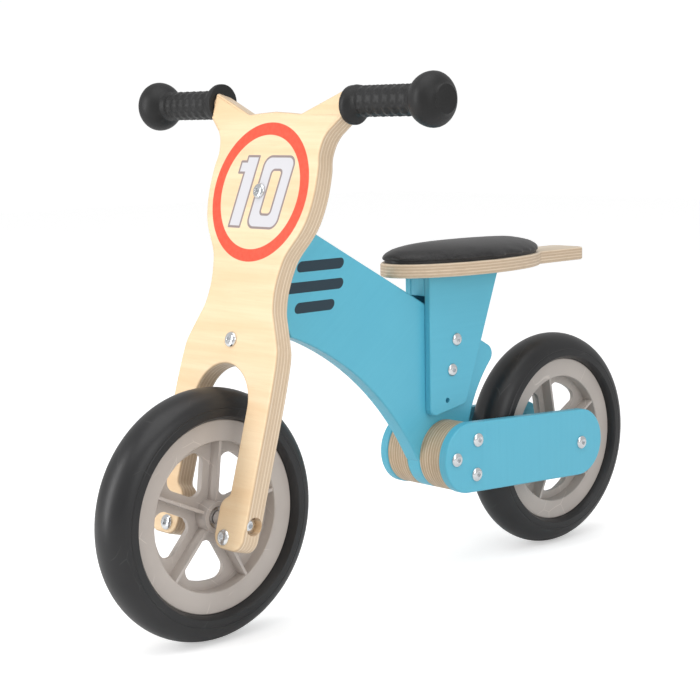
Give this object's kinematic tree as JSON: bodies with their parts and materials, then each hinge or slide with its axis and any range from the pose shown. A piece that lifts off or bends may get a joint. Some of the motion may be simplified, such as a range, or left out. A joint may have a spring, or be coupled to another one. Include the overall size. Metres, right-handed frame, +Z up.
{
  "type": "balance bike",
  "caption": "Child's pedal-free wooden balance bike with a plywood fork plate, board frame, swing arms, foam tyres and a padded seat.",
  "frame": {"origin": "On the ground, midway between the two wheels' contact points, in the bike's middle plane", "axes": "+X forwards, +Y to the rider's left, +Z up"},
  "size_m": [0.782, 0.446, 0.5547],
  "materials": {
    "blue_paint": "satin sky-blue paint on plywood",
    "plywood": "clear satin lacquer on birch plywood",
    "grey_plastic": "satin moulded plastic",
    "tyre_foam": "smooth closed-cell foam with a slight gloss",
    "grip_rubber": "satin rubber",
    "leatherette": "satin black leatherette over foam",
    "black_plastic": "matte",
    "white_plastic": "matte, self-lubricating",
    "bright_steel": "bright zinc plate"
  },
  "bodies": {
    "frame": {"main_frame": "blue_paint", "seat_post_left": "blue_paint", "seat_post_right": "blue_paint", "seat_post_block": "blue_paint", "seat_board": "plywood", "seat_base": "black_plastic", "seat_cushion": "leatherette", "seat_post_bolts": "bright_steel", "seat_post_nuts": "bright_steel", "seat_board_screws": "bright_steel", "seat_base_screws": "bright_steel", "swing_arm_left": "blue_paint", "swing_arm_right": "blue_paint", "drum_left": "plywood", "drum_right": "plywood", "arm_bolts": "bright_steel", "arm_nuts": "bright_steel", "rear_axle": "bright_steel", "rear_axle_nut": "bright_steel", "rear_spacers": "grey_plastic", "rear_sleeve": "bright_steel", "nose_bush_upper": "white_plastic", "nose_bush_lower": "white_plastic"},
    "fork": {"fork_plate": "plywood", "fork_block_upper": "plywood", "fork_block_lower": "plywood", "steering_pin": "bright_steel", "steering_washers": "bright_steel", "fork_bolts": "bright_steel", "leg_bolts": "bright_steel", "leg_nuts": "bright_steel", "handle_studs": "bright_steel", "handle_left": "plywood", "handle_right": "plywood", "grip_left": "grip_rubber", "grip_right": "grip_rubber", "front_axle": "bright_steel", "front_axle_nut": "bright_steel", "front_spacers": "grey_plastic", "front_sleeve": "bright_steel"},
    "front_wheel": {"front_tyre": "tyre_foam", "front_rim": "grey_plastic", "front_bearings": "bright_steel"},
    "rear_wheel": {"rear_tyre": "tyre_foam", "rear_rim": "grey_plastic", "rear_bearings": "bright_steel"}
  },
  "joints": [
    {"name": "steering", "type": "hinge", "parent": "frame", "child": "fork", "pos_m": [0.23564, 0, 0.11887], "axis": [-0.2756, 0, 0.9613], "range_deg": [-40, 40]},
    {"name": "front_wheel_spin", "type": "hinge", "parent": "fork", "child": "front_wheel", "pos_m": [0.264, 0, 0.127], "axis": [0, 1, 0], "continuous": true},
    {"name": "rear_wheel_spin", "type": "hinge", "parent": "frame", "child": "rear_wheel", "pos_m": [-0.264, 0, 0.127], "axis": [0, 1, 0], "continuous": true}
  ]
}
